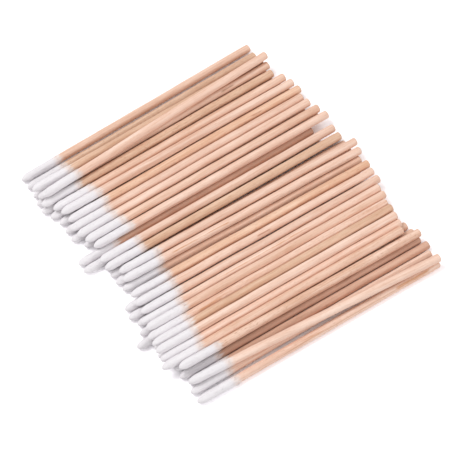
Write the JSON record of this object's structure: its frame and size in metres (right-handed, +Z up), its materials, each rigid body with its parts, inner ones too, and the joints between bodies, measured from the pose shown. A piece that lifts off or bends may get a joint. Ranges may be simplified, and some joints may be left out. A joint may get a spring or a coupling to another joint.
{
  "type": "pack of wooden cotton swabs",
  "caption": "Loose pack of small pointed cotton swabs on round wooden sticks, lying in a fanned row a few layers deep.",
  "frame": {"origin": "on the surface the pack lies on, under the middle of its bounding box", "axes": "+Z up from the surface, cotton ends towards -X and plain ends towards +X, the row of swabs runs along Y"},
  "size_m": [0.079, 0.0828, 0.0068],
  "materials": {
    "wood": "bare sanded birch, matt",
    "cotton": "wound white cotton, matt"
  },
  "bodies": {
    "root": {"floor_cotton_far": "cotton", "floor_cotton_near": "cotton", "floor_stick_01": "wood", "floor_stick_02": "wood", "floor_stick_03": "wood", "floor_stick_04": "wood", "floor_stick_05": "wood", "floor_stick_06": "wood", "floor_stick_07": "wood", "floor_stick_08": "wood", "floor_stick_09": "wood", "floor_stick_10": "wood", "floor_stick_11": "wood", "floor_stick_12": "wood", "floor_stick_13": "wood", "floor_stick_14": "wood", "floor_stick_15": "wood", "floor_stick_16": "wood", "floor_stick_17": "wood", "floor_stick_18": "wood", "floor_stick_19": "wood", "floor_stick_20": "wood", "floor_stick_21": "wood", "floor_stick_22": "wood", "floor_stick_23": "wood", "floor_stick_24": "wood", "floor_stick_25": "wood", "floor_stick_26": "wood", "floor_stick_27": "wood", "floor_stick_28": "wood", "floor_stick_29": "wood", "raised_cotton_far": "cotton", "raised_cotton_near": "cotton", "top_stick_01": "wood", "top_stick_02": "wood", "top_stick_03": "wood", "top_stick_04": "wood", "upper_stick_01": "wood", "upper_stick_02": "wood", "upper_stick_03": "wood", "upper_stick_04": "wood", "upper_stick_05": "wood", "upper_stick_06": "wood", "upper_stick_07": "wood", "upper_stick_08": "wood", "upper_stick_09": "wood", "upper_stick_10": "wood", "upper_stick_11": "wood", "upper_stick_12": "wood", "upper_stick_13": "wood", "upper_stick_14": "wood", "upper_stick_15": "wood", "upper_stick_16": "wood", "upper_stick_17": "wood", "upper_stick_18": "wood", "upper_stick_19": "wood", "upper_stick_20": "wood", "upper_stick_21": "wood", "upper_stick_22": "wood", "upper_stick_23": "wood"}
  },
  "joints": []
}
